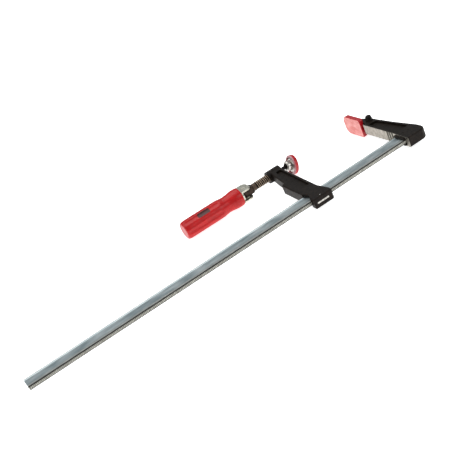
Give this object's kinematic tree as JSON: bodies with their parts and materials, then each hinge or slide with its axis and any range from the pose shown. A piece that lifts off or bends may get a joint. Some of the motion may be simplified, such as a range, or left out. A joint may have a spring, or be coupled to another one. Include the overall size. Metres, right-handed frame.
{
  "type": "f clamp",
  "caption": "Screw clamp with a fixed jaw on a flat profiled bar, a sliding arm, a screw spindle with a swivel plate and a folding wooden handle.",
  "frame": {"origin": "on the bare gripping face of the fixed jaw, midway through its thickness, 45 mm from the bar", "axes": "+X along the bar from its free end to the fixed jaw, +Y from the bar to the jaw tips, +Z across the thickness"},
  "size_m": [0.68, 0.17, 0.035],
  "materials": {
    "zinc_bar": "zinc-plated rolled steel, satin",
    "black_casting": "black painted malleable iron, semi-gloss",
    "red_pvc": "soft moulded PVC, glossy",
    "bright_steel": "bright turned steel",
    "black_oxide": "black oxide, oiled",
    "nylon": "natural nylon",
    "zinc_fork": "zinc-plated pressed steel",
    "red_wood": "red lacquered hornbeam"
  },
  "bodies": {
    "bar": {"profile_bar": "zinc_bar", "fixed_jaw": "black_casting", "jaw_pins": "black_casting", "jaw_cap": "red_pvc"},
    "arm": {"sliding_arm": "black_casting", "grip_insert": "bright_steel", "insert_pin": "bright_steel"},
    "ball": {"spindle_ball": "black_oxide"},
    "spindle": {"spindle": "black_oxide"},
    "cup": {"ball_cup": "nylon"},
    "plate": {"plate_socket": "bright_steel", "plate_dish": "bright_steel", "plate_cap": "red_pvc"},
    "handle": {"handle_bracket": "zinc_fork", "handle_tang": "zinc_fork", "pivot_pin": "zinc_fork", "pivot_washers": "zinc_fork", "handle_grip": "red_wood"}
  },
  "joints": [
    {"name": "arm_slide", "type": "slide", "parent": "bar", "child": "arm", "axis": [1, 0, 0], "range_m": [-0.463, 0.092]},
    {"name": "screw_advance", "type": "slide", "parent": "arm", "child": "ball", "axis": [1, 0, 0], "range_m": [-0.004, 0.016]},
    {"name": "screw_turn", "type": "hinge", "parent": "ball", "child": "spindle", "pos_m": [-0.13, 0.075, 0], "axis": [1, 0, 0], "range_deg": [-480, 1920]},
    {"name": "plate_tilt", "type": "hinge", "parent": "ball", "child": "cup", "pos_m": [-0.13, 0.075, 0], "axis": [0, 1, 0], "range_deg": [-34, 2]},
    {"name": "plate_swing", "type": "hinge", "parent": "cup", "child": "plate", "pos_m": [-0.13, 0.075, 0], "axis": [0.2756, 0, 0.9613], "range_deg": [-18, 18]},
    {"name": "handle_fold", "type": "hinge", "parent": "spindle", "child": "handle", "pos_m": [-0.212, 0.075, 0], "axis": [0, 0, 1], "range_deg": [-90, 90]}
  ],
  "couplings": [
    {"joint": "screw_turn", "follows": "screw_advance", "rad_per_m": 2094.4}
  ]
}
